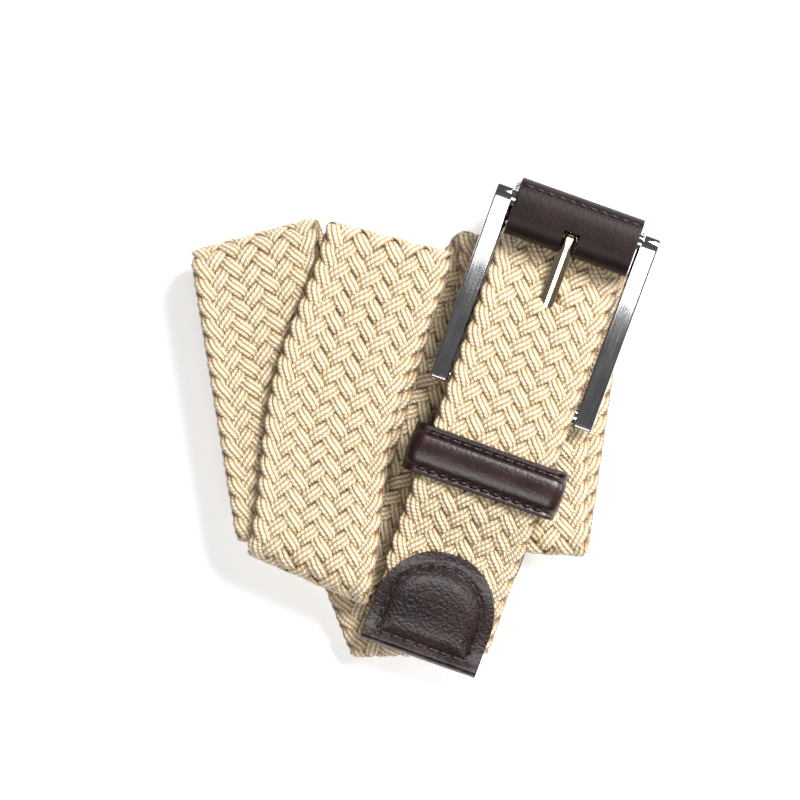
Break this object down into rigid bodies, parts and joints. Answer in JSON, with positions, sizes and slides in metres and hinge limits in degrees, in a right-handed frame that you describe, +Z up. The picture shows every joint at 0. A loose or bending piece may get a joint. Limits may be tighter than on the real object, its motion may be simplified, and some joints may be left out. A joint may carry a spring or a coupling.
{
  "type": "braided elastic belt",
  "caption": "Braided elastic stretch belt with leather tab, tip cap and keeper and a pin buckle, folded into a flat stack and buckled over its own tip",
  "frame": {"origin": "centre of the bounding box at its base, on the surface that the belt lies on", "axes": "+Z up; +Y towards the buckle end, +X to the right as the folded belt is seen from above"},
  "size_m": [0.1272, 0.1364, 0.0346],
  "materials": {
    "braid": "silky cream cords",
    "leather_tab": "smooth dark brown",
    "brushed_metal": "satin, brushed along the bars",
    "polished_metal": "polished",
    "leather_keeper": "padded, smooth dark brown",
    "leather_cap": "fine grain, painted edge"
  },
  "bodies": {
    "root": {"braided_strap": "braid", "buckle_tab": "leather_tab", "buckle_frame": "brushed_metal", "prong": "polished_metal", "keeper_loop": "leather_keeper", "tip_cap": "leather_cap"}
  },
  "joints": []
}
